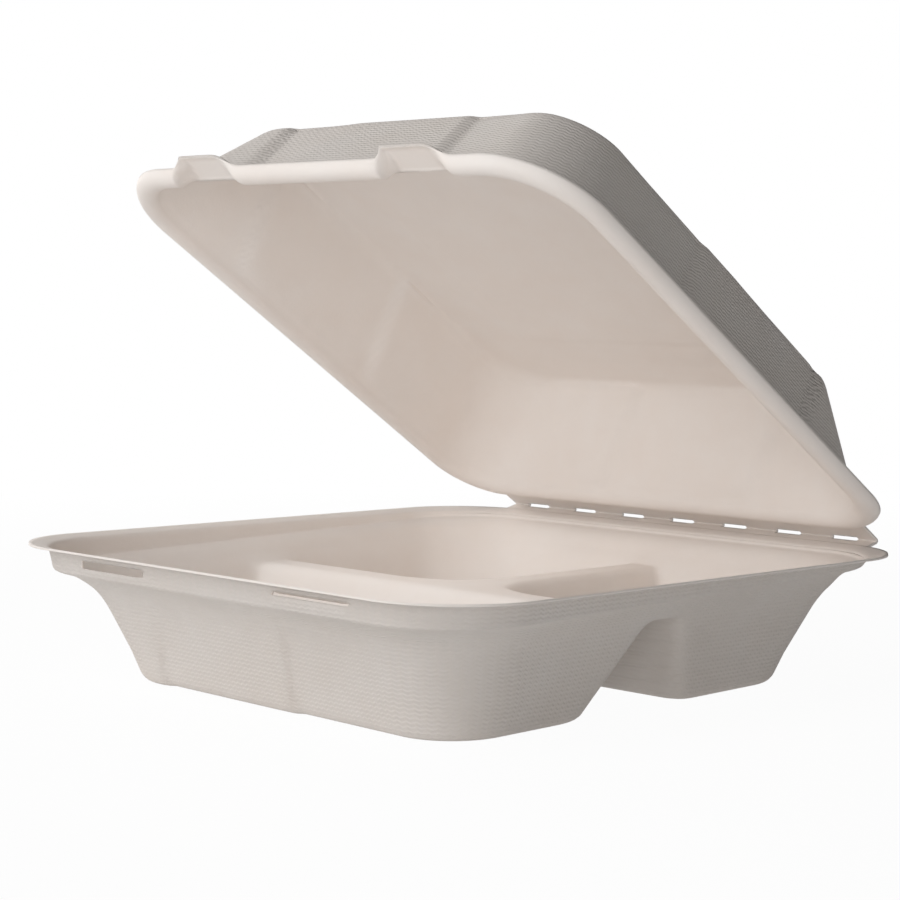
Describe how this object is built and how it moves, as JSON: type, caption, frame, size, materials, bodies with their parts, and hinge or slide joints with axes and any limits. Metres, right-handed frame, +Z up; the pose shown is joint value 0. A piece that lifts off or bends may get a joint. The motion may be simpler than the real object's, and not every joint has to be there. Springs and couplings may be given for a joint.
{
  "type": "hinged takeout container",
  "caption": "Shallow molded fiber container with divided tray and a deep domed lid on a perforated fold, standing open.",
  "frame": {"origin": "on the table, under the middle of the footprint that the tray and its hinge strip cover together", "axes": "+X along the fold, seen from the front towards the right; +Y towards the hinge; +Z up; the locking slots face -Y"},
  "size_m": [0.23, 0.2415, 0.1928],
  "materials": {
    "fiber": "matte"
  },
  "bodies": {
    "tray": {"base_tray": "fiber"},
    "cover": {"lid": "fiber"}
  },
  "joints": [
    {"name": "lid_fold", "type": "hinge", "parent": "tray", "child": "cover", "pos_m": [0, 0.12068, 0.04683], "axis": [-1, 0, 0], "range_deg": [-34, 147]}
  ]
}
